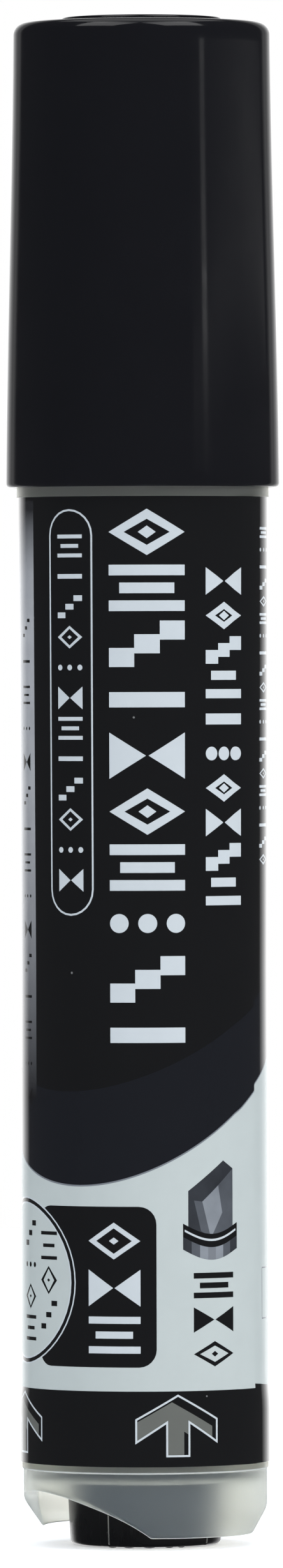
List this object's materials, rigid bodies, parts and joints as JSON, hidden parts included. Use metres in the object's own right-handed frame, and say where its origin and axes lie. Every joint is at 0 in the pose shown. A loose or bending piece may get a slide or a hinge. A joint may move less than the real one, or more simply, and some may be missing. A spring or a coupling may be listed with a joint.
{
  "type": "whiteboard marker",
  "caption": "Push-feed whiteboard marker: pull-off cap, milky barrel in a printed wrap, and a tail button inside a wave-cut guard that slides the ink tank to open its valve.",
  "frame": {"origin": "centre of the push button's flat end face, at the tail of the marker", "axes": "+Z along the marker's axis from tail to cap, -Y towards a viewer who faces the front of the label, +X to that viewer's right"},
  "size_m": [0.0218, 0.0218, 0.121],
  "materials": {
    "black_plastic": "glossy black polypropylene with fine handling marks",
    "liner_plastic": "soft natural polyethylene",
    "milky_barrel": "milky translucent natural polypropylene",
    "label_print": "glossy clear-coated film with a silver-white ground and black and dark grey print",
    "holder_plastic": "satin black polypropylene",
    "nib_felt": "hard bonded polyester fibre soaked with black ink",
    "core_fibre": "bonded fibre rod stained with black ink",
    "absorber_sponge": "open sponge stained with ink",
    "milky_guard": "milky translucent natural polypropylene, faintly blue over dark pieces",
    "button_plastic": "satin black polypropylene",
    "inner_plastic": "natural polypropylene",
    "tank_plastic": "milky translucent blow-moulded bottle",
    "ink": "black liquid ink",
    "seal_rubber": "soft black nitrile rubber",
    "stem_plastic": "white acetal",
    "spring_steel": "bright stainless spring wire"
  },
  "bodies": {
    "barrel": {"barrel_tube": "milky_barrel", "label_film": "label_print", "nib_holder": "holder_plastic", "nib": "nib_felt", "relay_core": "core_fibre", "absorber": "absorber_sponge", "valve_sleeve": "holder_plastic", "tail_guard": "milky_guard", "return_spring": "spring_steel"},
    "cap": {"cap_shell": "black_plastic", "cap_liner": "liner_plastic"},
    "tank": {"push_button": "button_plastic", "tail_plug": "inner_plastic", "ink_tank": "tank_plastic", "ink_charge": "ink", "valve_body": "inner_plastic", "valve_cage": "inner_plastic", "valve_seat": "seal_rubber", "nose_seal": "seal_rubber", "valve_spring": "spring_steel"},
    "stem": {"valve_stem": "stem_plastic"}
  },
  "joints": [
    {"name": "cap_pull", "type": "slide", "parent": "barrel", "child": "cap", "axis": [0, 0, 1], "range_m": [0, 0.045]},
    {"name": "push", "type": "slide", "parent": "barrel", "child": "tank", "axis": [0, 0, 1], "range_m": [0, 0.003], "stiffness_N_per_m": 300, "springref_m": -0.006, "deforming": ["return_spring"]},
    {"name": "valve_open", "type": "slide", "parent": "tank", "child": "stem", "axis": [0, 0, -1], "range_m": [0, 0.003], "deforming": ["valve_spring"]}
  ],
  "couplings": [
    {"joint": "valve_open", "follows": "push", "ratio": 1}
  ]
}
